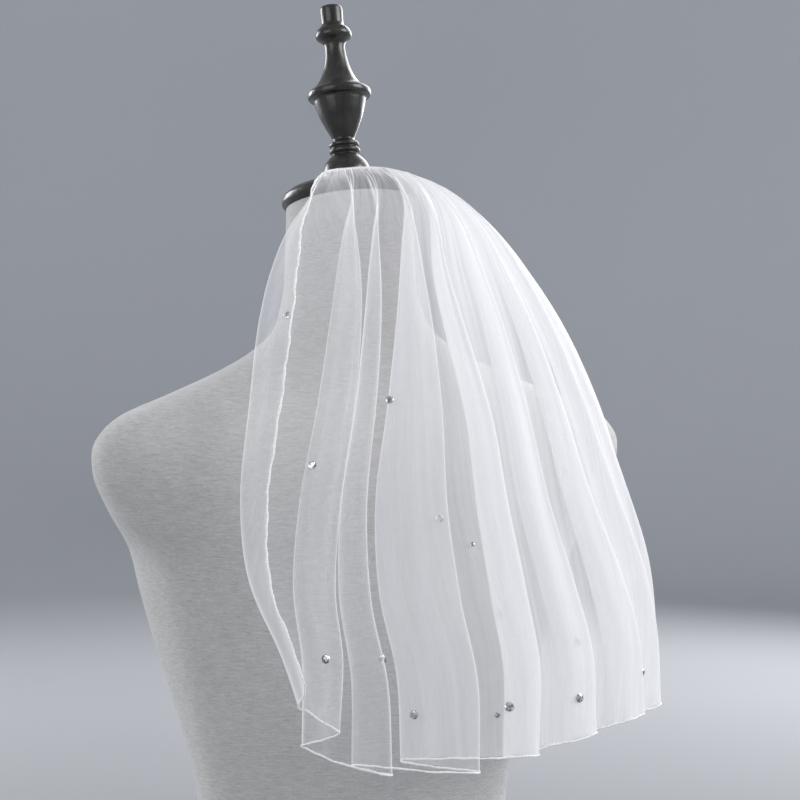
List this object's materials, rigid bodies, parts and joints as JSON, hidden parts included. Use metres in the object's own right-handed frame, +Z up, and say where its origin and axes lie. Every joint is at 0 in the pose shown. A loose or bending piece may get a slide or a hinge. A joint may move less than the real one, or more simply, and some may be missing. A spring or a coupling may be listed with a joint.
{
  "type": "bridal veil on dress form",
  "caption": "Short single-layer tulle veil gathered onto a comb, with a corded edge, laid over the wooden neck cap of a limbless dress form and falling in flutes behind its back.",
  "frame": {"origin": "centre of the form's flat underside, on the floor", "axes": "+Z up; the form faces -Y, the veil hangs behind it on +Y; +X is the form's own left"},
  "size_m": [0.4422, 0.3629, 0.8379],
  "materials": {
    "form_jersey": "fine off-white knit drawn tight over the form",
    "dark_wood": "near-black stained wood, satin varnish",
    "comb_plastic": "clear moulded plastic",
    "tulle": "sheer white net with a soft sheen",
    "edge_thread": "white rolled and corded edge"
  },
  "bodies": {
    "root": {"form_body": "form_jersey", "neck_cap": "dark_wood", "finial": "dark_wood", "comb": "comb_plastic", "heading": "tulle", "veil_panel": "tulle", "edge_cord": "edge_thread"}
  },
  "joints": []
}
